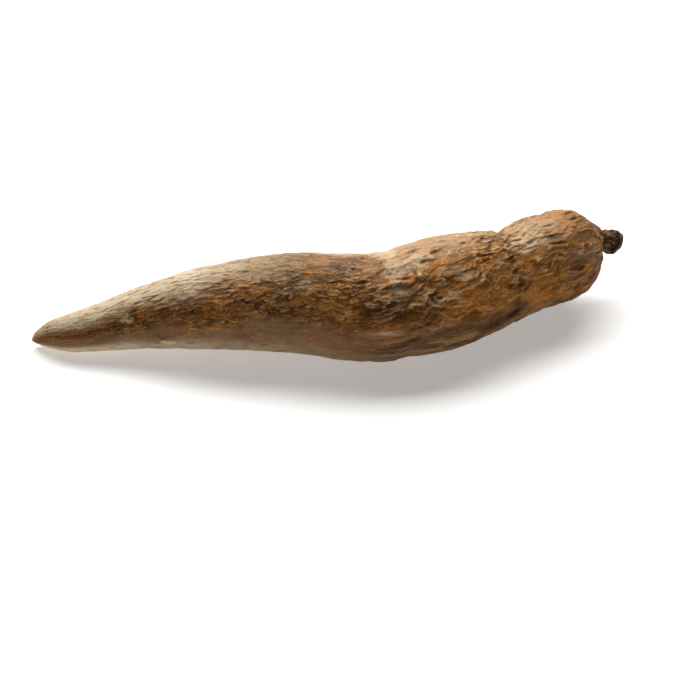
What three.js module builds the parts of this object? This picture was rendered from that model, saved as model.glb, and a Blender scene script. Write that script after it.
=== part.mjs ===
// A whole cassava root, grown as one piece and lying on its side.
// Millimetres, +Z up. +X runs along the root from its thin tip to its crown, -Y is its front side.
// The origin is on the surface that the root lies on, under the middle of its bounding box.
import * as THREE from "three";

// How finely the skin is cut: sides round the root, and the steps between rings of points.
const sides = 62;
const coarseStep = 4.9;
const fineStep = 1.7;

// The body: the middle of each section, then half its height and half its width.
// The middle line is nearly straight from the tip to the belly, then bends back to the crown.
const sections = [
  { x: -162.7, y: -16.7, z: 3.6, high: 0.4, wide: 0.4 },
  { x: -160.4, y: -16.4, z: 4.8, high: 2.8, wide: 2.8 },
  { x: -156.0, y: -16.8, z: 6.6, high: 5.4, wide: 5.4 },
  { x: -149.3, y: -17.4, z: 8.6, high: 8.4, wide: 8.4 },
  { x: -138.7, y: -18.1, z: 10.5, high: 10.8, wide: 10.8 },
  { x: -125.1, y: -16.5, z: 12.7, high: 13.1, wide: 13.1 },
  { x: -97.6, y: -14.5, z: 18.4, high: 17.4, wide: 17.4 },
  { x: -70.1, y: -15.5, z: 24.2, high: 22.0, wide: 22.0 },
  { x: -43.1, y: -15.6, z: 27.2, high: 25.2, wide: 25.2 },
  { x: -17.1, y: -16.2, z: 28.4, high: 27.4, wide: 27.4 },
  { x: 9.8, y: -19.3, z: 28.4, high: 29.2, wide: 29.0 },
  { x: 26.4, y: -19.7, z: 28.6, high: 29.5, wide: 29.2 },
  { x: 44.3, y: -15.1, z: 29.6, high: 30.4, wide: 30.0 },
  { x: 59.5, y: -9.6, z: 30.1, high: 31.0, wide: 30.6 },
  { x: 73.2, y: -2.6, z: 29.5, high: 30.1, wide: 29.4 },
  { x: 85.0, y: 2.4, z: 29.7, high: 28.3, wide: 27.6 },
  { x: 94.8, y: 7.9, z: 29.9, high: 26.2, wide: 26.0 },
  { x: 103.4, y: 12.9, z: 30.2, high: 24.8, wide: 24.8 },
  { x: 112.4, y: 18.7, z: 30.6, high: 25.6, wide: 25.4 },
  { x: 124.4, y: 24.7, z: 31.0, high: 25.3, wide: 25.1 },
  { x: 134.2, y: 31.0, z: 31.7, high: 23.3, wide: 22.9 },
  { x: 141.4, y: 35.7, z: 31.8, high: 16.8, wide: 16.6 },
  { x: 146.4, y: 38.3, z: 31.7, high: 10.6, wide: 10.6 },
  { x: 149.4, y: 39.4, z: 31.5, high: 7.0, wide: 7.0 },
  { x: 152.4, y: 40.0, z: 31.3, high: 5.9, wide: 5.7 },
  { x: 156.8, y: 40.5, z: 30.7, high: 6.7, wide: 6.6 },
  { x: 160.4, y: 40.9, z: 30.2, high: 5.8, wide: 5.8 },
  { x: 162.6, y: 41.1, z: 29.9, high: 3.9, wide: 3.9 },
  { x: 164.0, y: 41.2, z: 29.8, high: 0.4, wide: 0.4 },
];

// Papery ridges that run along the root. So many lie side by side round it, and their lips stand so high.
// One lives for about its length, and wanders sideways by so many ridge widths. Most of a ridge rises.
// They are lower on the thin half, and grow to their full height before the belly.
const ridges = { count: 19, lip: 1.7, length: 15, riseShare: 0.68 };
const thinHalf = { share: 0.45, from: 110, to: 180 };
const wander = { widths: 1.5, length: 34, cells: 6, start: 40 };

// Shallow swellings of the whole body, and small uneven spots: how deep, how long, how many round it.
const swelling = { depth: 0.9, length: 34, cells: 4, start: 0 };
const spots = { depth: 0.35, length: 9, cells: 22, start: 90 };

// Places along the root are distances from the tip, measured on the middle line.
// The crease under the crown is further from the tip at the back than at the front, by twice its lean.
// It wavers, is wider towards the body than towards the crown, and is deepest on the upper side.
const neck = { at: 268, lean: 9, waver: 1.6, depth: 2.4, bodyWidth: 4.5, crownWidth: 2.2 };
const pinch = { even: 0.55, oneSide: 0.3, deepestTurn: 0.25, uneven: 0.2 };

// The body's ridges stand higher where it gathers against the crease.
const gather = { share: 0.5, before: 9, width: 10 };

// The shallow waist behind the belly.
const waist = { at: 203, depth: 1.0, width: 4.5, waver: 2.5 };

// The rough, knobby stub of wood left where the root was cut from the plant.
const stub = { from: 331.5, blend: 2, depth: 0.8, length: 3.2, cells: 7, start: 70 };

// The skin at the tip is smooth and young, and the ridges fade in behind it.
const smoothTip = { from: 8, to: 70 };

// Relief shrinks with the section where the root is thinner than this.
const thin = 6;

// From here to its end the crown narrows fast.
const crownEnd = 316;

const fullTurn = 2 * Math.PI;

const middleLine = new THREE.CatmullRomCurve3(
  sections.map((s) => new THREE.Vector3(s.x, s.y, s.z)),
  false,
  "catmullrom",
);
const girth = new THREE.CatmullRomCurve3(
  sections.map((s) => new THREE.Vector3(s.high, s.wide, 0)),
  false,
  "catmullrom",
);
middleLine.arcLengthDivisions = 800;
const rootLength = middleLine.getLength();

const ease = (t) => t * t * (3 - 2 * t);
const mix = (a, b, share) => a + (b - a) * share;
const wrap = (value, count) => ((value % count) + count) % count;
const hump = (distance, width) => Math.exp(-((distance / width) ** 2));
const fade = (from, to, value) => ease(THREE.MathUtils.clamp((value - from) / (to - from), 0, 1));

// A value between 0 and 1 that looks random and is always the same for the same two whole numbers.
function lot(i, j) {
  const mixed = Math.sin(i * 127.1 + j * 311.7) * 43758.5453;
  return mixed - Math.floor(mixed);
}

// Smooth noise between -1 and 1. It closes on itself after `cells` cells round the root.
function noise(along, around, cells) {
  const i = Math.floor(along);
  const j = Math.floor(around);
  const here = wrap(j, cells);
  const next = wrap(j + 1, cells);
  const lower = mix(lot(i, here), lot(i + 1, here), ease(along - i));
  const upper = mix(lot(i, next), lot(i + 1, next), ease(along - i));
  return 2 * mix(lower, upper, ease(around - j)) - 1;
}

// Noise over the skin, in cells of one length, of which so many fit round the root.
const skinNoise = (kind, along, turn) =>
  noise(along / kind.length + kind.start, turn * kind.cells, kind.cells);

// Noise that depends only on the turn round the root. The seed sets one ring of it apart from the others.
const turnNoise = (seed, turn, cells) => noise(seed, turn * cells, cells);

// A ridge rises slowly across its width and drops at its lip. It lives for a while and dies away.
function ridgeRelief(along, turn) {
  const lane = turn * ridges.count + wander.widths * skinNoise(wander, along, turn);
  const across = lane - Math.floor(lane);
  const ridge = wrap(Math.floor(lane), ridges.count);
  const life = 0.5 + 0.5 * noise(along / ridges.length + 0.37 * ridge, ridge, ridges.count);
  const rise = Math.min(across / ridges.riseShare, (1 - across) / (1 - ridges.riseShare));
  return ridges.lip * life * ease(rise);
}

// How far a place is past the crease.
function pastCrease(along, turn) {
  const place = neck.at + neck.lean * Math.cos(turn * fullTurn);
  return along - place + neck.waver * turnNoise(2, turn, 9);
}

function neckRelief(along, turn) {
  const offset = pastCrease(along, turn);
  const oneSide = pinch.oneSide * Math.cos((turn - pinch.deepestTurn) * fullTurn);
  const depth = neck.depth * (pinch.even + oneSide + pinch.uneven * turnNoise(3, turn, 7));
  return -depth * hump(offset, offset < 0 ? neck.bodyWidth : neck.crownWidth);
}

// How much of their full height the ridges have.
function ridgeShare(along, turn) {
  const grown = mix(thinHalf.share, 1, fade(thinHalf.from, thinHalf.to, along));
  return grown + gather.share * hump(pastCrease(along, turn) + gather.before, gather.width);
}

function waistRelief(along, turn) {
  const offset = along - waist.at + waist.waver * turnNoise(8, turn, 7);
  return -waist.depth * hump(offset, waist.width);
}

// How far the skin stands out from its smooth section at one place.
function relief(along, turn) {
  const swell = swelling.depth * skinNoise(swelling, along, turn);
  const spot = spots.depth * skinNoise(spots, along, turn);
  const aged = fade(smoothTip.from, smoothTip.to, along);
  const ridge = ridgeShare(along, turn) * ridgeRelief(along, turn);
  const bark = aged * (swell + spot + ridge + waistRelief(along, turn));
  const skin = bark + neckRelief(along, turn);
  const knobs = stub.depth * skinNoise(stub, along, turn);
  return mix(skin, knobs, fade(stub.from - stub.blend, stub.from + stub.blend, along));
}

const up = new THREE.Vector3(0, 0, 1);

// The point of the skin at a distance along the root and a share of a turn round it.
// A turn starts at the back, and goes over the top to the front and underneath.
function skinPoint(along, turn) {
  const share = middleLine.getUtoTmapping(along / rootLength);
  const size = girth.getPoint(share);
  const ahead = middleLine.getTangent(share);
  const back = new THREE.Vector3().crossVectors(up, ahead).normalize();
  const upright = new THREE.Vector3().crossVectors(ahead, back);
  const stand = relief(along, turn) * Math.min(1, size.x / thin);
  const point = middleLine.getPoint(share);
  point.addScaledVector(back, (size.y + stand) * Math.cos(turn * fullTurn));
  point.addScaledVector(upright, (size.x + stand) * Math.sin(turn * fullTurn));
  // The underside is flat where it rests.
  point.z = Math.max(point.z, 0);
  return point;
}

// Distances of the rings from the tip: close together at both ends and at the crease.
function ringPlaces() {
  const creaseReach = neck.lean + neck.bodyWidth;
  const places = [0];
  let here = 0;
  while (here < rootLength - fineStep) {
    const nearNeck = Math.abs(here - neck.at) < creaseReach;
    const nearEnd = here < smoothTip.from || here > crownEnd;
    here += nearNeck || nearEnd ? fineStep : coarseStep;
    places.push(Math.min(here, rootLength));
  }
  places[places.length - 1] = rootLength;
  return places;
}

// A sphere's grid of points, with every ring moved to its place on the skin.
function rootGeometry() {
  const places = ringPlaces();
  const last = places.length - 1;
  const geometry = new THREE.SphereGeometry(1, sides, last);
  const points = geometry.getAttribute("position");
  places.forEach((along, ring) => {
    for (let side = 0; side <= sides; side++) {
      const atEnd = ring === 0 || ring === last;
      const point = atEnd ? middleLine.getPointAt(along / rootLength) : skinPoint(along, 1 - side / sides);
      points.setXYZ(ring * (sides + 1) + side, point.x, point.y, point.z);
    }
  });
  geometry.computeVertexNormals();
  return geometry;
}

const bark = new THREE.MeshStandardMaterial({ color: 0x7a522c, roughness: 0.85, metalness: 0 });
const root = new THREE.Mesh(rootGeometry(), bark);
root.name = "cassava_root";

const group = new THREE.Group();
group.add(root);

export default group;
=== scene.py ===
import math
import bmesh
import bpy
import numpy as np
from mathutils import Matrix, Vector


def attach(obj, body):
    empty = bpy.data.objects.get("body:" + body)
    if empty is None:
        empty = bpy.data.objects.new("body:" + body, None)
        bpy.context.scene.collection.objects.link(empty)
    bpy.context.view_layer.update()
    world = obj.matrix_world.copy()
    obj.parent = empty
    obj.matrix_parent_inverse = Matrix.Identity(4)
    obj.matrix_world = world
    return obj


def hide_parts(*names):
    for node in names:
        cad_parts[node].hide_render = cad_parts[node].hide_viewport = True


# One whole cassava root lying on a pale table: camera, light and table, the root's skin, its waxed bark.
# Blender works in metres. Lengths in the dictionaries are millimetres unless a note says otherwise.
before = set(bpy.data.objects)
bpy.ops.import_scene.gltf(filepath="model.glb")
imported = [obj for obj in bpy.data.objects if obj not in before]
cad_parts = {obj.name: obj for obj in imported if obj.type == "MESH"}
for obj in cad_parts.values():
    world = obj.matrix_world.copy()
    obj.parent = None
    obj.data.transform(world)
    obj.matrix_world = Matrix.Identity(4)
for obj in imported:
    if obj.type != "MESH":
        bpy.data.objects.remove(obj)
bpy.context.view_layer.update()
mm = 0.001
fullTurn = 2 * math.pi


# the sRGB curve undone, for a colour such as "#F2F1EF"
def toLinear(hexColour):
    channels = [int(hexColour[i:i + 2], 16) / 255 for i in (1, 3, 5)]
    linear = [c / 12.92 if c <= 0.04045 else ((c + 0.055) / 1.055) ** 2.4 for c in channels]
    return (*linear, 1.0)


# Camera

cameraView = {
    "lens": 107.6,         # on a 36 mm sensor: a long lens from over a metre away
    "elevation": 37.0,     # degrees above the table
    "distance": 1141.0,
    "lookAt": (10.9, -19.9, 0.0),
}


def makeCamera(view):
    data = bpy.data.cameras.new("camera")
    data.lens = view["lens"]
    camera = bpy.data.objects.new("camera", data)
    bpy.context.scene.collection.objects.link(camera)
    tilt = math.radians(view["elevation"])
    away = Vector((0, -math.cos(tilt), math.sin(tilt)))
    camera.location = (Vector(view["lookAt"]) + away * view["distance"]) * mm
    camera.rotation_euler = (-away).to_track_quat("-Z", "Y").to_euler()
    bpy.context.scene.camera = camera


# Light and table: one wide soft light above and behind, a dark room in front, and a white table
# whose bounce lights the lower side.

studio = {
    "tableColour": "#F2F1EF",
    "tableGlow": 0.42,         # a white table lit from inside, which keeps shadows pale
    "tableRoughness": 0.9,
    "tableSize": 8000,
    "worldColour": "#FFFFFF",
    "worldStrength": 0.02,
    # each light: where it hangs, the point it faces, its width and height, its power in watts
    "lights": {
        "overhead": ((-150, 880, 1300), (0, 0, 0), 2400, 1000, 50),
    },
}


def makeStudio(values):
    scene = bpy.context.scene
    world = bpy.data.worlds.new("studio")
    world.use_nodes = True
    room = world.node_tree.nodes["Background"]
    room.inputs["Color"].default_value = toLinear(values["worldColour"])
    room.inputs["Strength"].default_value = values["worldStrength"]
    scene.world = world
    scene.view_settings.view_transform = "Standard"
    for name, (place, target, width, height, watts) in values["lights"].items():
        data = bpy.data.lights.new(name, "AREA")
        data.shape = "RECTANGLE"
        data.size = width * mm
        data.size_y = height * mm
        data.energy = watts
        light = bpy.data.objects.new(name, data)
        light.location = Vector(place) * mm
        light.rotation_euler = (Vector(target) - Vector(place)).to_track_quat("-Z", "Y").to_euler()
        scene.collection.objects.link(light)
    bm = bmesh.new()
    bmesh.ops.create_grid(bm, x_segments=1, y_segments=1, size=values["tableSize"] * mm / 2)
    mesh = bpy.data.meshes.new("table")
    bm.to_mesh(mesh)
    bm.free()
    table = bpy.data.objects.new("table", mesh)
    scene.collection.objects.link(table)
    paint = bpy.data.materials.new("matt white table")
    paint.use_nodes = True
    shader = paint.node_tree.nodes["Principled BSDF"]
    shader.inputs["Base Color"].default_value = toLinear(values["tableColour"])
    shader.inputs["Roughness"].default_value = values["tableRoughness"]
    shader.inputs["Emission Color"].default_value = toLinear(values["tableColour"])
    shader.inputs["Emission Strength"].default_value = values["tableGlow"]
    mesh.materials.append(paint)


makeCamera(cameraView)
makeStudio(studio)
print("camera, light and table made")

# The body's form. Places along the root are distances from the tip, measured on the middle line.
# A turn round it starts at the back and goes over the top to the front and underneath.

bodyForm = {
    # the middle of each section (x, y, z), then half its height and half its width
    "sections": [
        (-162.7, -16.7, 3.6, 0.4, 0.4),
        (-160.4, -16.4, 4.8, 2.8, 2.8),
        (-156.0, -16.8, 6.6, 5.4, 5.4),
        (-149.3, -17.4, 8.6, 8.4, 8.4),
        (-138.7, -18.1, 10.5, 10.8, 10.8),
        (-125.1, -16.5, 12.7, 13.1, 13.1),
        (-97.6, -14.5, 18.4, 17.4, 17.4),
        (-70.1, -15.5, 24.2, 22.0, 22.0),
        (-43.1, -15.6, 27.2, 25.2, 25.2),
        (-17.1, -16.2, 28.4, 27.4, 27.4),
        (9.8, -19.3, 28.4, 29.2, 29.0),
        (26.4, -19.7, 28.6, 29.5, 29.2),
        (44.3, -15.1, 29.6, 30.4, 30.0),
        (59.5, -9.6, 30.1, 31.0, 30.6),
        (73.2, -2.6, 29.5, 30.1, 29.4),
        (85.0, 2.4, 29.7, 28.3, 27.6),
        (94.8, 7.9, 29.9, 26.2, 26.0),
        (103.4, 12.9, 30.2, 24.8, 24.8),
        (112.4, 18.7, 30.6, 25.6, 25.4),
        (124.4, 24.7, 31.0, 25.3, 25.1),
        (134.2, 31.0, 31.7, 23.3, 22.9),
        (141.4, 35.7, 31.8, 16.8, 16.6),
        (146.4, 38.3, 31.7, 10.6, 10.6),
        (149.4, 39.4, 31.0, 6.6, 6.9),
        (152.4, 40.0, 31.3, 5.9, 5.7),
        (156.8, 40.5, 30.7, 6.7, 6.6),
        (160.4, 40.9, 30.0, 5.5, 5.7),
        (162.6, 41.0, 29.3, 3.7, 4.0),
        (164.0, 41.0, 28.8, 0.4, 0.4),
    ],
    "swelling": {"depth": 0.9, "length": 34, "cells": 4, "start": 0},
    "spots": {"depth": 0.35, "length": 9, "cells": 22, "start": 90},
    # The shallow waist behind the belly, and the crease under the crown. The crease leans: it is further from
    # the tip at the back than at the front. A ring of noise with so many cells makes each of them waver.
    "waist": {"at": 203, "depth": 1.0, "width": 4.5, "waver": 2.5, "ring": 8, "cells": 7},
    "neck": {"at": 268, "lean": 9, "waver": 1.6, "ring": 2, "cells": 9,
             "depth": 2.4, "bodyWidth": 4.5, "crownWidth": 1.5},
    # how deep the crease pinches the root: evenly, deepest at one turn, and unevenly
    "pinch": {"even": 0.55, "oneSide": 0.3, "deepestTurn": 0.25, "uneven": 0.2, "ring": 3, "cells": 7},
    "thin": 6,                 # relief shrinks where the root is thinner than this
    "lengthSteps": 800,        # how finely the middle line is measured
}


def ease(t):
    return t * t * (3 - 2 * t)


def fade(start, end, value):
    return ease(np.clip((value - start) / (end - start), 0, 1))


def mix(a, b, share):
    return a + (b - a) * share


def hump(distance, width):
    return np.exp(-((distance / width) ** 2))


# a value between 0 and 1 that looks random and is always the same for the same two whole numbers
def lot(i, j):
    mixed = np.sin(i * 127.1 + j * 311.7) * 43758.5453
    return mixed - np.floor(mixed)


# smooth noise between -1 and 1 that closes on itself after so many cells round the root
def cellNoise(along, around, cells):
    i = np.floor(along)
    j = np.floor(around)
    here, after = np.mod(j, cells), np.mod(j + 1, cells)
    lower = mix(lot(i, here), lot(i + 1, here), ease(along - i))
    upper = mix(lot(i, after), lot(i + 1, after), ease(along - i))
    return 2 * mix(lower, upper, ease(around - j)) - 1


# noise over the skin, in cells of one length, of which so many fit round the root
def skinNoise(kind, along, turn):
    return cellNoise(along / kind["length"] + kind["start"], turn * kind["cells"], kind["cells"])


# noise that depends only on the turn, one numbered ring of it
def ringNoise(kind, along, turn):
    return cellNoise(kind["ring"] + 0 * along, turn * kind["cells"], kind["cells"])


# a uniform Catmull-Rom curve through the points, at shares of its spans
def curveAt(points, share):
    padded = np.vstack([2 * points[0] - points[1], points, 2 * points[-1] - points[-2]])
    spans = len(points) - 1
    span = np.minimum((share * spans).astype(int), spans - 1)
    w = (share * spans - span)[:, None]
    before, a, b, after = (padded[span + i] for i in range(4))
    slopeA, slopeB = (b - before) / 2, (after - a) / 2
    return a + w * (slopeA + w * (3 * (b - a) - 2 * slopeA - slopeB + w * (2 * (a - b) + slopeA + slopeB)))


class Body:
    def __init__(self, form):
        self.form = form
        rows = np.array(form["sections"], dtype=float)
        self.middle, self.girth = rows[:, :3], rows[:, 3:]
        self.shares = np.linspace(0, 1, form["lengthSteps"] + 1)
        steps = np.diff(curveAt(self.middle, self.shares), axis=0)
        self.lengths = np.append(0, np.cumsum(np.linalg.norm(steps, axis=1)))
        self.length = self.lengths[-1]

    # the smooth section at each place: its middle, its two directions, half its height and width
    def sectionAt(self, along):
        share = np.interp(along, self.lengths, self.shares)
        small = 1e-4
        ahead = (curveAt(self.middle, np.minimum(share + small, 1))
                 - curveAt(self.middle, np.maximum(share - small, 0)))
        ahead /= np.linalg.norm(ahead, axis=1)[:, None]
        back = np.cross((0, 0, 1), ahead)
        back /= np.linalg.norm(back, axis=1)[:, None]
        size = curveAt(self.girth, share)
        return curveAt(self.middle, share), back, np.cross(ahead, back), size[:, 0], size[:, 1]


body = Body(bodyForm)

# Zones of the skin, by the coordinate that bounds them. Two places say where a zone starts and where it is
# full, four also say where it ends being full and where it is over, and a bell has a middle and a width.
skinZones = {
    "along": {                                      # millimetres from the tip
        "aged": (15, 75),                           # behind the young, smooth tip
        "flecks": (70, 140),                        # pale flecks start along here
        "belly": (165, 205),
        "freshBelly": (185, 225),                   # where the bark is less aged again
        "crownEnd": (304, 322),
        "thinMiddle": {"at": 155, "width": 45},     # where the upper side is weathered
    },
    "pastCrease": {                                 # millimetres past the crease
        "crown": (0.2, 2.5),
        "lowCrown": (-2, 16),
        "crownBody": (6, 20),
        "crownRest": (10, 26),
        "wrinkles": {"at": -9, "width": 12},        # where the body gathers against the crease
        "calmSpot": {"at": -8, "width": 9},         # the smoother skin there, seen from the front
    },
    "turn": {                                       # shares of a turn: 0 back, 0.25 top, 0.5 front
        "front": (0.30, 0.38, 0.62, 0.70),
        "frontAndUnder": (0.05, 0.15, 0.85, 0.95),
        "facing": (0.15, 0.27, 0.90, 1.00),         # where flakes stand at their full height
        "offBack": (0.02, 0.10),
        "flaps": (0.40, 0.30),                      # loose flaps on the crown's upper side
        "bellySide": (0.30, 0.42),
        "bellyLow": (0.40, 0.45),
        "crownSide": (0.62, 0.52),
        "shadeEnd": (0.95, 0.85),
        "smoothEnd": (0.98, 0.86),
        "washed": {"at": 0.21, "width": 0.10},      # near the top, where the painted shade at the rims' feet is paler
    },
    "raggedTurn": {                                 # the same with a wandering border
        "upper": (0.36, 0.30),
    },
    "wavyTurn": {                                   # with half of that
        "cracked": {"at": 0.545, "width": 0.06},
    },
}

# The skin's relief. Papery bark grows in flakes: each is a cell of the skin, stretched along the root,
# that rises towards its lower rim and drops there. Flakes of six kinds lie over each other.
skinRelief = {
    "girth": 180,      # millimetres round the belly, which all patterns are spaced by
    # Each kind: how long a flake is, how many fit round the root, how high the highest rim stands, which
    # share of flakes lie flat, how far they rise before the rim (1 evenly, 3 late), how soft the rim is,
    # how far they climb for each millimetre along, how their edges wander (so many cells over so many mm),
    # and how strong the painted highlight on their rims is. "start" sets its lots apart from the others'.
    # Then where it shows: how strong it is outside and inside each zone, how much of it is added where the
    # skin gathers, and how far both of these are limited outside and inside each zone.
    "kinds": {
        "plates": {            # wide sheets, mostly on the belly
            "length": 24, "cells": 20, "lip": 1.1, "flat": 0.45, "curl": 2.6, "rim": 0.12,
            "slant": 0.10, "wander": ((0.55, 17), (0.22, 6)), "rimHighlight": 1, "start": 0,
            "where": {"belly": (0.25, 0.9)}, "gathered": 0,
            "limits": {"crown": (1, 0), "smoothThin": (1, 0.35), "calm": (1, 0.3)},
        },
        "flakes": {            # short raised rims
            "length": 9, "cells": 42, "lip": 1.7, "flat": 0.42, "curl": 2.4, "rim": 0.16,
            "slant": 0.12, "wander": ((0.8, 9), (0.3, 3.5)), "rimHighlight": 1, "start": 200,
            "where": {"belly": (0.35, 1.0), "patchy": (0.55, 1.1)}, "gathered": 0.2,
            "limits": {"crown": (1, 0.25), "smooth": (1, 0.35), "calm": (1, 0.3)},
        },
        "scales": {            # fine, soft roughness
            "length": 4.6, "cells": 84, "lip": 0.9, "flat": 0.35, "curl": 1.8, "rim": 0.4,
            "slant": 0.06, "wander": ((0.8, 6), (0.4, 2.4)), "rimHighlight": 1, "start": 400,
            "where": {"belly": (1.1, 0.7), "patchy": (0.5, 1.0)}, "gathered": 1,
            "limits": {"crown": (1, 0.5), "smooth": (1, 0.35)},
        },
        "folds": {             # slanting flaps on the crown's upper side, next to the crease
            "length": 14, "cells": 46, "lip": 1.15, "flat": 0.25, "curl": 2.2, "rim": 0.2,
            "slant": 0.38, "wander": ((0.6, 11), (0.35, 4)), "rimHighlight": 1, "start": 600,
            "where": {"crown": (0, 0.9), "flapped": (0, 1)}, "gathered": 0.2,
            "limits": {"smooth": (1, 0.35)},
        },
        "dashes": {            # short rims on the rest of the crown
            "length": 8, "cells": 50, "lip": 1.8, "flat": 0.1, "curl": 3.0, "rim": 0.18,
            "slant": 0.04, "wander": ((0.7, 9), (0.4, 3)), "rimHighlight": 1, "start": 650,
            "where": {"crown": (0, 1), "flapped": (1, 0.55), "under": (1, 0.5)}, "gathered": 0,
            "limits": {},
        },
        "cracks": {            # long dark cracks low on the belly's front
            "length": 30, "cells": 44, "lip": 1.5, "flat": 0.15, "curl": 3.0, "rim": 0.2,
            "slant": 0.0, "wander": ((0.8, 22), (0.35, 7)), "rimHighlight": 0, "start": 900,
            "where": {"belly": (0, 1.5), "crown": (1, 0), "cracked": (0, 1)}, "gathered": 0,
            "limits": {},
        },
    },
    "sunk": 0.5,       # how far the skin between the rims lies below the body's own size
    # Layered noises: how big the largest blobs are, how much longer they are along the root, in how many
    # layers, and how strong. Pebbles and grain are relief. The others move the edges of zones and patches.
    "noises": {
        "pebbles": {"size": 3.2, "stretch": 1.3, "layers": 2, "amount": 0.18, "start": 700},
        "grain": {"size": 1.4, "stretch": 1.3, "layers": 2, "amount": 0.12, "start": 800},
        "borders": {"size": 22, "stretch": 1.0, "layers": 3, "amount": 0.04, "start": 950},
        "patchy": {"size": 16, "stretch": 1.6, "layers": 2, "amount": 0.5, "start": 960},
        "dustSheenEdge": {"size": 18, "stretch": 1.0, "layers": 4, "amount": 0.022, "start": 970},
        "patchEdge": {"size": 5, "stretch": 1.6, "layers": 4, "amount": 0.8, "start": 980},
    },
    # how strong these are outside and inside each zone: the flakes' height, the height of pebbles and
    # grain, and the painted shade at the feet of the rims
    "flakeHeight": {"aged": (0.15, 1), "facing": (0.5, 1)},
    "fineHeight": {"under": (1, 0.6)},
    "footShade": {"openBelly": (1, 0.65), "crown": (1, 0.7), "sheltered": (1, 0.45)},
    # The smoother lower side: its edge round the root, which starts higher on the thin half than on the
    # belly, and how much of its smoothness the crown and the belly's plates take.
    "lowSide": {"edge": (0.45, 0.50), "thinShift": 0.02, "bellyShift": -0.03, "crown": 0.5, "plates": 0.5},
    # painted shade in a strip low on the belly, whose edge lies further down on the crown
    "lowShade": {"edge": (0.49, 0.55), "crownShift": -0.05},
    "flapsLeft": 0.2,  # how much of the loose flaps is left further from the crease
    # painted shade in the crease: its width towards both sides, and how deep a pinch it starts from
    "creaseShade": {"bodyWidth": 3.2, "crownWidth": 0.9, "from": 0.3, "strength": 2.0},
    # the woody stub: knobs, and smaller knots on them
    "stub": {"from": 331.5, "blend": 2, "depth": 1.1, "length": 3.2, "cells": 7, "start": 70,
             "knots": {"depth": 0.7, "length": 1.9, "cells": 13, "start": 75}},
    # a small broken knob on the crown, under the stub, where the root is so many millimetres round
    "knob": {"at": 315.5, "turn": 0.458, "height": 1.6, "size": 2.6, "girth": 110},
    # arched rims left by old flakes: the middle of each arch (along, turn) and its radius, then how high
    # and wide the rim is, how much flatter than a circle, over how many radii it thins out, and how strong
    # its painted highlight is
    "arches": ((221, 0.43, 6.0), (240, 0.40, 4.5), (206, 0.42, 4.0)),
    "arch": {"height": 0.8, "width": 0.8, "flatter": 1.7, "thinOut": 0.5, "rimHighlight": 1.2},
}

# Dust with painted sheen lies along the top, a painted highlight in a stripe at the back, and painted
# reflection of the white table, pale like dust, low down.
skinDustAndSheen = {
    # how strong the dust and painted sheen are at places along it high up, and the painted reflection low
    # down
    "high": ((0, 0.5), (20, 0.8), (50, 0.95), (95, 1.0), (125, 0.5), (155, 0.2), (185, 0.15), (215, 0.75),
             (240, 0.85), (272, 0.6), (300, 0.25), (322, 0.1)),
    "low": ((0, 1.0), (35, 1.0), (60, 0.7), (120, 0.35), (175, 0.1), (240, 0.0), (340, 0.0)),
    # their front and back edges, in shares of a turn: where each starts and where it is full
    "highEdges": ((0.37, 0.25), (0.0, 0.10)),
    "lowEdges": ((0.50, 0.60), (0.95, 0.80)),
    # a painted highlight along the top edge, in a stripe at the back
    "stripe": {"at": 0.14, "width": 0.05, "strength": 0.8, "ragged": 2},     # twice as ragged as the edges
    # where the dust and painted sheen on the top start to reach lower, where they have done so, and by what
    # share of a turn
    "lowering": ((80, 20, 0.04), (140, 110, 0.012), (190, 215, -0.045), (268, 278, 0.07)),
}

# Patches of their own, each: along, turn, half its length and width in mm, how strong.
skinPatches = {
    "fades": (1.4, 0.6),       # from how far out to how far in a patch grows to full strength
    "rubbed": (
        (58, 0.40, 4, 3, 0.8), (79, 0.549, 3, 1.8, 0.9), (142, 0.367, 4, 2.2, 0.35),
        (156, 0.338, 3.4, 2.2, 0.4), (193, 0.483, 3, 1.2, 0.6), (198.5, 0.33, 4, 8, 1.0),
        (199, 0.20, 6, 12, 1.0), (199, 0.27, 5, 10, 1.0), (200, 0.36, 2.2, 5.5, 0.7),
        (209, 0.283, 5, 2.8, 0.9), (221, 0.413, 6, 1.4, 0.8), (225, 0.335, 5, 1.5, 0.5),
        (232, 0.362, 4.5, 2.0, 0.9), (277, 0.30, 8, 9, 0.8), (284, 0.25, 9, 6, 0.6),
    ),
    "mottled": (
        (299, 0.41, 12, 8, 0.8), (308, 0.44, 8, 8, 0.9), (306, 0.36, 5, 3, 0.6), (300, 0.16, 14, 9, 0.35),
    ),
    # dark stains; the patches low on the crown's end are painted shade
    "stainsAndShade": (
        (2.5, 0.49, 3, 3, 0.8), (150, 0.29, 9, 3, 0.5), (172, 0.27, 10, 3, 0.5), (184, 0.31, 7, 4, 0.5),
        (188, 0.37, 8, 5, 0.5), (191, 0.42, 6, 5, 0.5), (195, 0.26, 2.5, 1.5, 1.0), (246, 0.45, 7, 4, 0.5),
        (250, 0.175, 16, 2.5, 0.7), (258, 0.43, 3.5, 2.5, 1.0), (279, 0.18, 9, 2.5, 0.7),
        (298, 0.58, 16, 9, 0.7), (312, 0.54, 14, 10, 0.95), (318, 0.36, 5, 9, 0.5), (319, 0.43, 2, 2, 0.9),
        (320, 0.49, 6, 9, 0.9), (321, 0.27, 4, 8, 0.5),
    ),
}

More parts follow.
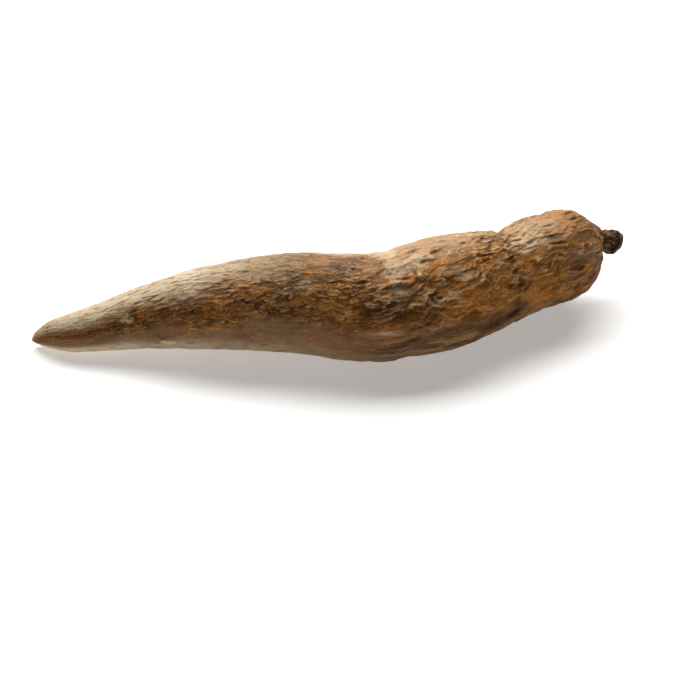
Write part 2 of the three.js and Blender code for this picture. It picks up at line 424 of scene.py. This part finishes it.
# How strong each paint of the bark is outside and inside each zone.
paintZones = {
    "lip": {"aged": (0.3, 1), "belly": (0.6, 1.7)},
    "paintedShade": {"aged": (0.3, 1), "dustSheen": (1, 0.5)},
    "dustAndSheen": {"dustSheen": (0, 1), "belly": (1, 0.2)},
    "bellyDustAndSheen": {"dustSheen": (0, 1), "belly": (0, 1)},
    "old": {"freshBelly": (1, 0.35), "crown": (1, 0.8)},
    "beneath": {"lowShade": (0, 1), "belly": (0, 1), "lowCrown": (1, 0.85), "shadeEnd": (0, 1)},
    "flecked": {"aged": (0, 1), "flecks": (0, 1), "belly": (1, 0.4), "under": (1, 0.4)},
    "golden": {"sideOfBelly": (0.5, 1), "behind": (1, 0.4), "crown": (1, 0.6)},
    "speckled": {"belly": (1, 0.6), "crown": (1, 0.8)},
    "rough": {"aged": (0, 1), "belly": (1, 0.35), "crown": (1, 0.8)},
    "weathered": {"upper": (0, 1), "offBack": (0, 1)},
    "under": {"under": (0, 1), "belly": (1, 0.75), "sideOfCrown": (1, 0.15)},
    "wood": {"wood": (0, 1)},
}

# What some paints take from the flakes and their tones.
paintTones = {
    "contrast": 2,             # how soon a darker or lighter flake is fully so
    "crownEnd": 0.75,          # how strong the painted shade at the crown's end is at least
    "weatheredCrown": 0.45,    # how weathered the crown is, compared with the thin half
    "rubbed": (0.9, 0.8),      # how strong rubbed places are evenly, and how much more on lighter flakes
    "lipLimits": {"under": (1, 0.5), "lowBelly": (1, 0.45), "wood": (1, 0)},     # where the painted highlight on rims is weaker
}


# how far a value is inside a zone
def inZone(places, value):
    if isinstance(places, dict):
        return hump(value - places["at"], places["width"])
    share = fade(places[0], places[1], value)
    if len(places) == 4:
        share = share * fade(places[3], places[2], value)
    return share


# the product of a strength for each zone, which has one value outside it and one inside
def strengthIn(zones, strengths):
    product = 1.0
    for name, (outside, inside) in strengths.items():
        product = product * mix(outside, inside, zones[name])
    return product


# noise whose blobs are so many millimetres wide
def blobNoise(size, start, along, turn, stretch=1.0):
    cells = max(3, round(skinRelief["girth"] / size))
    return cellNoise(along / (size * stretch) + start, turn * cells, cells)


# several layers of it, each half the size and half the strength of the one before
def roughNoise(kind, along, turn):
    total = np.zeros_like(along)
    apart = 17         # sets the layers' lots apart
    for layer in range(kind["layers"]):
        size, start = kind["size"] / 2 ** layer, kind["start"] + apart * layer
        total = total + blobNoise(size, start, along, turn, kind["stretch"]) / 2 ** layer
    return kind["amount"] * total


# How every kind of flake is drawn.
flakeDrawing = {
    "jitter": 0.8,             # how far a flake's middle strays, as a share of its cell
    "alongWander": 0.5,        # edges wander this much along the root for 1 round it
    "alongStart": 9,           # sets the lots of these two apart
    "boost": 1.5,              # stretches the flakes' heights, which are then cut off at the full height
    "rise": 1.3,               # cells from where a flake starts to where it is highest
    "stepTone": 2.2,           # how soon a step shows as painted highlight on its crest and painted shade at its foot
    "crest": 2,                # how wide the crest and the foot are, in soft rims
    "foot": 3,
    # whole numbers that set one lot of a flake apart from its others
    "lots": {"along": (0, 0), "round": (31, 57), "height": (71, 13), "tone": (11, 91)},
}


# One kind of flake, at every place: how high the skin stands, how near a rim's crest the place is,
# how near a rim's foot, and the flake's own tone, a lot between 0 and 1.
def flakeRelief(kind, along, turn):
    drawing, cells, start = flakeDrawing, kind["cells"], kind["start"]
    u = along / kind["length"] + start
    v = turn * cells + kind["slant"] * along / skinRelief["girth"] * cells
    for amount, size in kind["wander"]:
        v = v + amount * blobNoise(size, start + size, along, turn)
        alongNoise = blobNoise(size, start + size + drawing["alongStart"], along, turn)
        u = u + drawing["alongWander"] * amount * alongNoise
    i, j = np.floor(u), np.floor(v)
    nearest = [np.full_like(along, np.inf), np.full_like(along, np.inf)]    # of the nearest two flakes:
    rise, tone = [0 * along, 0 * along], [0 * along, 0 * along]             # distance, height there, tone
    for stepAlong in (-1, 0, 1):
        for stepRound in (-1, 0, 1):
            ci, cj = i + stepAlong, j + stepRound
            own = np.mod(cj, cells)
            lots = {name: lot(ci + a, own + b) for name, (a, b) in drawing["lots"].items()}
            du = u - ci - 0.5 - drawing["jitter"] * (lots["along"] - 0.5)
            dv = v - cj - 0.5 - drawing["jitter"] * (lots["round"] - 0.5)
            distance = np.sqrt(du * du + dv * dv)
            standing = (lots["height"] - kind["flat"]) / (1 - kind["flat"])
            slope = np.clip(0.5 + dv / drawing["rise"], 0, 1) ** kind["curl"]
            height = np.clip(drawing["boost"] * standing, 0, 1) * slope
            first = distance < nearest[0]
            second = ~first & (distance < nearest[1])
            for pair, value in ((nearest, distance), (rise, height), (tone, lots["tone"])):
                pair[1] = np.where(first, pair[0], np.where(second, value, pair[1]))
                pair[0] = np.where(first, value, pair[0])
    gap = nearest[1] - nearest[0]
    inside = ease(np.clip(gap / kind["rim"], 0, 1))
    height = mix((rise[0] + rise[1]) / 2, rise[0], inside)
    crest = 1 - ease(np.clip(gap / (drawing["crest"] * kind["rim"]), 0, 1))
    foot = 1 - ease(np.clip(gap / (drawing["foot"] * kind["rim"]), 0, 1))
    step = drawing["stepTone"] * (rise[0] - rise[1])
    return kind["lip"] * height, crest * np.clip(step, 0, 1), foot * np.clip(-step, 0, 1), tone[0]


def pastCrease(form, along, turn):
    neck = form["neck"]
    place = neck["at"] + neck["lean"] * np.cos(turn * fullTurn)
    return along - place + neck["waver"] * ringNoise(neck, along, turn)


# The crease's groove, and the painted shade in it.
def creaseAt(form, relief, along, turn):
    neck, pinch, line = form["neck"], form["pinch"], relief["creaseShade"]
    offset = pastCrease(form, along, turn)
    oneSide = pinch["oneSide"] * np.cos((turn - pinch["deepestTurn"]) * fullTurn)
    depth = pinch["even"] + oneSide + pinch["uneven"] * ringNoise(pinch, along, turn)
    widths = [np.where(offset < 0, kind["bodyWidth"], kind["crownWidth"]) for kind in (neck, line)]
    groove = neck["depth"] * depth * hump(offset, widths[0])
    return groove, line["strength"] * hump(offset, widths[1]) * np.clip(depth - line["from"], 0, 1)


# Dust with painted sheen along the top, a painted highlight in a stripe at the back, and painted reflection
# of the white table low down.
def dustAndSheenAt(relief, dustAndSheen, along, turn):
    ragged = roughNoise(relief["noises"]["dustSheenEdge"], along, turn)
    highShare, lowShare = (np.interp(along, *np.array(dustAndSheen[name]).T) for name in ("high", "low"))
    lower = sum(shift * fade(start, end, along) for start, end, shift in dustAndSheen["lowering"])
    frontEdge, backEdge = dustAndSheen["highEdges"]
    high = highShare * fade(*frontEdge, turn + ragged - lower) * fade(*backEdge, turn)
    stripe = dustAndSheen["stripe"]
    stripeOffset = turn + stripe["ragged"] * ragged - stripe["at"]
    high = np.maximum(high, stripe["strength"] * hump(stripeOffset, stripe["width"]))
    frontEdge, backEdge = dustAndSheen["lowEdges"]
    low = lowShare * fade(*frontEdge, turn + ragged) * fade(*backEdge, turn)
    return np.clip(high + low, 0, 1)


# every zone at every place, with those that others make up
def zonesAt(form, relief, along, turn):
    noises, stub = relief["noises"], relief["stub"]
    border = roughNoise(noises["borders"], along, turn)
    coordinates = {"along": along, "pastCrease": pastCrease(form, along, turn), "turn": turn,
                   "raggedTurn": turn + border, "wavyTurn": turn + border / 2}
    zones = {}
    for coordinate, group in skinZones.items():
        for name, places in group.items():
            zones[name] = inZone(places, coordinates[coordinate])
    belly, crown, front = zones["belly"], zones["crown"], zones["front"]
    lowSide, lowShade = relief["lowSide"], relief["lowShade"]
    shift = mix(lowSide["thinShift"], lowSide["bellyShift"], belly)
    zones["under"] = fade(*lowSide["edge"], turn + border + shift) * zones["smoothEnd"]
    zones["smooth"] = zones["under"] * mix(1, lowSide["crown"], crown)
    zones["smoothThin"] = zones["smooth"] * mix(1, lowSide["plates"], belly)
    shift = lowShade["crownShift"] * zones["lowCrown"]
    zones["lowShade"] = fade(*lowShade["edge"], turn + border + shift)
    zones["gather"] = zones["wrinkles"] * (1 - crown) * (1 - front)
    zones["calm"] = zones["calmSpot"] * front
    zones["flapped"] = zones["flaps"] * mix(1, relief["flapsLeft"], zones["crownRest"])
    zones["sheltered"] = zones["washed"] * (1 - zones["gather"])
    zones["openBelly"] = belly * (1 - zones["gather"])
    zones["sideOfBelly"] = belly * zones["bellySide"]
    zones["lowBelly"] = belly * zones["bellyLow"]
    zones["sideOfCrown"] = crown * zones["crownSide"]
    zones["behind"] = 1 - zones["frontAndUnder"]
    zones["patchy"] = 0.5 + roughNoise(noises["patchy"], along, turn)
    zones["wood"] = fade(stub["from"] - stub["blend"], stub["from"] + stub["blend"], along)
    zones["dustSheen"] = dustAndSheenAt(relief, skinDustAndSheen, along, turn) * (1 - zones["wood"])
    return zones


# a few ragged patches of their own
def patchesAt(relief, places, along, turn):
    patches = 0 * along
    ragged = np.exp(roughNoise(relief["noises"]["patchEdge"], along, turn))
    for place, side, long, wide, share in places:
        far = np.hypot((along - place) / long, (turn - side) * relief["girth"] / wide)
        patches = np.maximum(patches, share * fade(*skinPatches["fades"], far * ragged))
    return patches


# the upper halves of a few rings, which thin out to both sides
def archesAt(relief, along, turn):
    arches, arch = 0 * along, relief["arch"]
    for place, side, radius in relief["arches"]:
        across, down = along - place, (turn - side) * relief["girth"]
        ring = hump(np.hypot(across, down * arch["flatter"]) - radius, arch["width"])
        arches = np.maximum(arches, ring * fade(0, -arch["thinOut"] * radius, down))
    return arches


# all kinds of flakes together: how high they stand, their crests, feet and tones
def flakesAt(relief, zones, along, turn):
    lips, crest, foot, tone = 0 * along, 0 * along, 0 * along, 0 * along
    for kind in relief["kinds"].values():
        share = strengthIn(zones, kind["where"]) + kind["gathered"] * zones["gather"]
        share = share * strengthIn(zones, kind["limits"])
        height, high, low, shade = flakeRelief(kind, along, turn)
        lips = lips + share * height
        crest = np.maximum(crest, kind["rimHighlight"] * share * high)
        foot = np.maximum(foot, share * low * strengthIn(zones, relief["footShade"]))
        tone = tone + np.clip(share, 0, 1) * (shade - 0.5)
    return lips, crest, foot, tone


# how far the skin stands out from its smooth section
def heightAt(form, relief, zones, lips, arch, groove, along, turn):
    waist, stub, knob = form["waist"], relief["stub"], relief["knob"]
    swell = sum(form[name]["depth"] * skinNoise(form[name], along, turn) for name in ("swelling", "spots"))
    waistOffset = along - waist["at"] + waist["waver"] * ringNoise(waist, along, turn)
    dip = waist["depth"] * hump(waistOffset, waist["width"])
    fine = sum(roughNoise(relief["noises"][name], along, turn) for name in ("pebbles", "grain"))
    bark = zones["aged"] * (swell - dip - relief["sunk"]) + lips * strengthIn(zones, relief["flakeHeight"])
    bark = bark + fine * strengthIn(zones, relief["fineHeight"]) + relief["arch"]["height"] * arch
    far = np.hypot(along - knob["at"], (turn - knob["turn"]) * knob["girth"])
    skin = bark - groove + knob["height"] * hump(far, knob["size"])
    knobs = sum(kind["depth"] * skinNoise(kind, along, turn) for kind in (stub, stub["knots"]))
    return mix(skin, knobs, zones["wood"])


# the skin's height at every place, and how strong each paint is there
def skinAt(form, relief, along, turn):
    zones = zonesAt(form, relief, along, turn)
    groove, creaseShade = creaseAt(form, relief, along, turn)
    lips, crest, foot, tone = flakesAt(relief, zones, along, turn)
    arch = archesAt(relief, along, turn)
    crest = np.maximum(crest, relief["arch"]["rimHighlight"] * arch)
    height = heightAt(form, relief, zones, lips, arch, groove, along, turn)
    paints = {name: strengthIn(zones, strengths) for name, strengths in paintZones.items()}
    for name in ("rubbed", "mottled", "stainsAndShade"):
        paints[name] = patchesAt(relief, skinPatches[name], along, turn)
    # painted highlight on the crests of rims and arches
    paints["lip"] = np.clip(crest * paints["lip"], 0, 1) * strengthIn(zones, paintTones["lipLimits"])
    # painted shade at the feet of rims and in the crease
    paints["paintedShade"] = np.clip(foot * paints["paintedShade"] + creaseShade, 0, 1)
    shown = paintTones["contrast"] * tone
    # darker flakes, and painted shade towards the crown's end
    paints["darkFlakesAndShade"] = np.maximum(np.clip(-shown, 0, 1), paintTones["crownEnd"] * zones["crownEnd"])
    paints["bright"] = np.clip(shown, 0, 1)
    evenly, byTone = paintTones["rubbed"]
    paints["rubbed"] = paints["rubbed"] * np.clip(evenly + byTone * tone, 0, 1)
    # painted shade: the back, where the light from behind falls strongest, takes the dark brown in full
    paints["old"] = mix(paints["old"], 1, zones["behind"])
    paints["flecked"] = paints["flecked"] * np.clip(zones["patchy"], 0, 1)
    weathered = zones["thinMiddle"] + paintTones["weatheredCrown"] * zones["crownBody"]
    paints["weathered"] = paints["weathered"] * weathered
    return height, paints


def skinPoints(along, turn, height):
    middle, back, upright, high, wide = body.sectionAt(along)
    stand = height * np.minimum(1, high / body.form["thin"])
    angle = turn * fullTurn
    points = middle + back * ((wide + stand) * np.cos(angle))[:, None]
    points = points + upright * ((high + stand) * np.sin(angle))[:, None]
    points[:, 2] = np.maximum(points[:, 2], 0)       # flat where it rests
    return points


# How the skin is cut: points round the root and along it, closer together where the bark is rough.
# Each row gives a place, in mm along or in shares of a turn, and how close together the points are there.
skinMesh = {
    "sides": 300,
    "rings": 330,
    "alongDensity": ((0, 1.0), (4, 0.8), (60, 0.8), (90, 1.0), (190, 1.2), (325, 1.35), (344, 1.6)),
    "turnDensity": ((0.0, 1.0), (0.08, 1.6), (0.54, 1.6), (0.62, 0.7), (0.94, 0.7), (1.0, 1.0)),
    "densitySteps": 4000,      # how finely the densities are added up
}


# places spread over a stretch by a density: the share of all steps passed, turned to a place
def spread(density, shares):
    places, weights = np.array(density, dtype=float).T
    fine = np.linspace(places[0], places[-1], skinMesh["densitySteps"] + 1)
    passed = np.append(0, np.cumsum(np.interp((fine[1:] + fine[:-1]) / 2, places, weights)))
    return np.interp(shares, passed / passed[-1], fine)


# A flat map of the skin for the bake: along the root one way and round it the other, cut open at the back.
# A corner at a tip sits in the middle of its face.
def addFlatMap(mesh, share, side):
    corners = np.empty(len(mesh.loops), dtype=np.int32)
    starts = np.empty(len(mesh.polygons), dtype=np.int32)
    counts = np.empty(len(mesh.polygons), dtype=np.int32)
    mesh.loops.foreach_get("vertex_index", corners)
    mesh.polygons.foreach_get("loop_start", starts)
    mesh.polygons.foreach_get("loop_total", counts)
    u, v = 1 - share[corners], side[corners]
    atTip = (u == 0) | (u == 1)
    low = np.minimum.reduceat(np.where(atTip, np.inf, v), starts)
    high = np.maximum.reduceat(np.where(atTip, 0, v), starts)
    cutOpen = np.repeat(high - low > 0.5, counts)
    v = np.where(cutOpen & (v < 0.5), v + 1, v)
    low = np.minimum.reduceat(np.where(atTip, np.inf, v), starts)
    high = np.maximum.reduceat(np.where(atTip, 0, v), starts)
    v = np.where(atTip, np.repeat((low + high) / 2, counts), v)
    flat = mesh.uv_layers.new(name="OFBake")
    flat.data.foreach_set("uv", np.stack([u, v], 1).astype(np.float32).ravel())


def makeRoot():
    bm = bmesh.new()
    sides, rings = skinMesh["sides"], skinMesh["rings"]
    bmesh.ops.create_uvsphere(bm, u_segments=sides, v_segments=rings, radius=1)
    bm.verts.ensure_lookup_table()
    ball = np.array([v.co[:] for v in bm.verts])
    share = np.round(np.arccos(np.clip(-ball[:, 2], -1, 1)) / math.pi * rings) / rings
    side = np.mod(np.round(np.arctan2(ball[:, 1], ball[:, 0]) / fullTurn * sides), sides) / sides
    turn = spread(skinMesh["turnDensity"], side)
    along = np.minimum(spread(skinMesh["alongDensity"], share), body.length)
    height, paints = skinAt(bodyForm, skinRelief, along, turn)
    for vert, point in zip(bm.verts, skinPoints(along, turn, height) * mm):
        vert.co = point
    bmesh.ops.recalc_face_normals(bm, faces=bm.faces)
    mesh = bpy.data.meshes.new("bark_skin")
    bm.to_mesh(mesh)
    bm.free()
    mesh.polygons.foreach_set("use_smooth", [True] * len(mesh.polygons))
    for name, strength in paints.items():
        values = mesh.attributes.new(name, "FLOAT", "POINT")
        values.data.foreach_set("value", strength.astype(np.float32))
    addFlatMap(mesh, share, side)
    # straightened coordinates in millimetres, so that a pattern can follow the grain
    radius = body.sectionAt(along)[3]
    grown = np.stack([along, radius * np.cos(turn * fullTurn), radius * np.sin(turn * fullTurn)], 1)
    straight = mesh.attributes.new("grown", "FLOAT_VECTOR", "POINT")
    straight.data.foreach_set("vector", grown.astype(np.float32).ravel())
    root = bpy.data.objects.new("bark_skin", mesh)
    bpy.context.scene.collection.objects.link(root)
    return root


# Waxed bark: a thin papery skin, orange-brown where it is whole and dark brown where it has aged, grey-brown
# low down, with dust, under a thin coat of wax that shines softly. Painted into its colour are highlights on
# the rims, sheen along the top, shade at the rims' feet, in the crease and low down, and the white table's
# reflection.

barkFinish = {
    "base": "#B26B22",
    "roughness": 0.5,
    "specular": 0.06,
    # Colours lie over each other in this order, and each has a noise of its own. A row names the paint of
    # the skin that says where it lies, its colour, how big its noise is in mm, how much longer that is along
    # the root, how detailed, between which levels of the noise it comes up, and how much there is at most.
    "layers": (
        ("old", "#5A2F0A", 17, 1.8, 5, (0.42, 0.58), 0.9),            # dark brown where the skin has aged, and all round the back as painted shade
        ("golden", "#CA7618", 12, 1.6, 5, (0.44, 0.60), 0.75),        # orange, where it is fresh
        ("rough", "#341B06", 4, 2.0, 4, (0.52, 0.68), 0.75),          # nearly black, rough spots
        ("all", "#CC944E", 0.9, 1.1, 2, (0.46, 0.68), 0.6),           # pale specks
        ("speckled", "#38200A", 0.8, 1.1, 2, (0.46, 0.68), 0.75),     # dark specks
        ("under", "#866A4E", 7, 2.5, 6, (0.24, 0.46), 0.8),           # grey-brown on the lower side, partly painted reflection of the white table
        ("beneath", "#4E3825", 6, 4.0, 6, (0.32, 0.54), 0.75),        # painted shade, a dark strip low on the belly
        ("beneath", "#927658", 3.6, 4.0, 4, (0.53, 0.62), 0.6),       # and pale streaks in it
        ("darkFlakesAndShade", "#3A1F07", 3, 2.0, 2, (0.0, 0.2), 0.6),               # darker flakes, and painted shade at the crown's end
        ("bright", "#C08E50", 3, 2.0, 2, (0.2, 0.7), 0.5),            # lighter flakes
        ("weathered", "#4A2E16", 5, 2.5, 5, (0.46, 0.60), 0.85),      # dull dark patches on the upper side
        ("flecked", "#D0B184", 1.7, 2.2, 4, (0.57, 0.65), 0.85),      # short pale flecks
        ("dustAndSheen", "#E6D4B5", 3.2, 1.8, 6, (0.24, 0.50), 0.92),         # dry dust, with painted sheen along the top and painted reflection of the table low down
        ("bellyDustAndSheen", "#CDAC8C", 2.6, 1.6, 6, (0.27, 0.50), 0.9),         # pinker dust on the belly, with painted sheen along its top
        ("rubbed", "#E4CAA6", 1.6, 1.3, 5, (0.32, 0.52), 0.95),       # bare skin, where bark has rubbed off
        ("paintedShade", "#2E1A0A", 6, 1.4, 3, (0.34, 0.50), 0.9),         # painted shade at the foot of each rim and in the crease
        ("stainsAndShade", "#33200E", 2.5, 1.6, 4, (0.38, 0.56), 0.9),       # dark stains, and painted shade low on the crown's end
        ("mottled", "#8A6F55", 3.2, 1.5, 4, (0.40, 0.52), 0.8),       # grey patches on the crown
        ("mottled", "#3A2614", 2.4, 1.5, 4, (0.56, 0.64), 0.6),       # and dark spots in them
        ("lip", "#E4B885", 6.0, 1.2, 3, (0.40, 0.52), 0.95),          # painted highlight on thin rims
        ("wood", "#4C3523", 3, 1.0, 2, (0.0, 0.2), 1.0),              # the stub's dry brown wood,
        ("wood", "#9A7B58", 1.6, 2.0, 3, (0.50, 0.62), 0.8),          # its pale fibres
        ("wood", "#24150A", 1.8, 1.5, 3, (0.52, 0.64), 0.8),          # and its dark holes
    ),
    "apart": 7.3,              # how far along its noise each layer starts after the one before
    "noiseRoughness": 0.6,
    # fine relief that is too small to model: size in mm, stretch, detail, depth in mm
    "fibres": (1.8, 1.7, 4, 0.55),
    "grit": (0.9, 1.1, 3, 0.6),
    "distortion": 0.5,         # how much both of these wander
}


def addNode(tree, kind, settings=None, links=None):
    node = tree.nodes.new(kind)
    for name, value in (settings or {}).items():
        if isinstance(name, int) or name in node.inputs:
            node.inputs[name].default_value = value
        else:
            setattr(node, name, value)
    for name, source in (links or {}).items():
        tree.links.new(source, node.inputs[name])
    return node


def barkMaterial(values):
    material = bpy.data.materials.new("waxed papery bark")
    material.use_nodes = True
    tree = material.node_tree
    shader = tree.nodes["Principled BSDF"]
    grown = addNode(tree, "ShaderNodeAttribute", {"attribute_name": "grown"}).outputs["Vector"]
    base = addNode(tree, "ShaderNodeRGB")
    base.outputs[0].default_value = toLinear(values["base"])
    colour = base.outputs[0]
    noiseBase = {"Scale": 1.0, "Roughness": values["noiseRoughness"]}
    for number, (where, tint, size, stretch, detail, levels, amount) in enumerate(values["layers"]):
        spacing = {"Scale": (1 / size / stretch, 1 / size, 1 / size)}
        spacing["Location"] = (values["apart"] * number, 0, 0)
        spaced = addNode(tree, "ShaderNodeMapping", spacing, {"Vector": grown}).outputs[0]
        noise = addNode(tree, "ShaderNodeTexNoise", {**noiseBase, "Detail": detail}, {"Vector": spaced})
        limits = {"From Min": levels[0], "From Max": levels[1], "To Max": amount}
        share = addNode(tree, "ShaderNodeMapRange", limits, {"Value": noise.outputs["Fac"]}).outputs[0]
        if where != "all":
            place = addNode(tree, "ShaderNodeAttribute", {"attribute_name": where})
            factors = {0: share, 1: place.outputs["Fac"]}
            share = addNode(tree, "ShaderNodeMath", {"operation": "MULTIPLY"}, factors).outputs[0]
        # the two colours go into sockets 6 and 7 of this node, and the mixed one comes out of its third
        painted = {"data_type": "RGBA", 7: toLinear(tint)}
        colour = addNode(tree, "ShaderNodeMix", painted, {0: share, 6: colour}).outputs[2]
    tree.links.new(colour, shader.inputs["Base Color"])
    noiseBase["Distortion"] = values["distortion"]
    normal = {}
    for size, stretch, detail, depth in (values["fibres"], values["grit"]):
        spacing = {"Scale": (1 / size / stretch, 1 / size, 1 / size)}
        spaced = addNode(tree, "ShaderNodeMapping", spacing, {"Vector": grown}).outputs[0]
        noise = addNode(tree, "ShaderNodeTexNoise", {**noiseBase, "Detail": detail}, {"Vector": spaced})
        bump = addNode(tree, "ShaderNodeBump", {"Strength": 1.0, "Distance": depth * mm},
                       {"Height": noise.outputs["Fac"], **normal})
        normal = {"Normal": bump.outputs[0]}
    tree.links.new(bump.outputs[0], shader.inputs["Normal"])
    shader.inputs["Roughness"].default_value = values["roughness"]
    shader.inputs["Specular IOR Level"].default_value = values["specular"]
    return material


root = makeRoot()
root.data.materials.append(barkMaterial(barkFinish))
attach(root, "root")
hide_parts("cassava_root")
print("root made:", len(root.data.polygons), "faces")
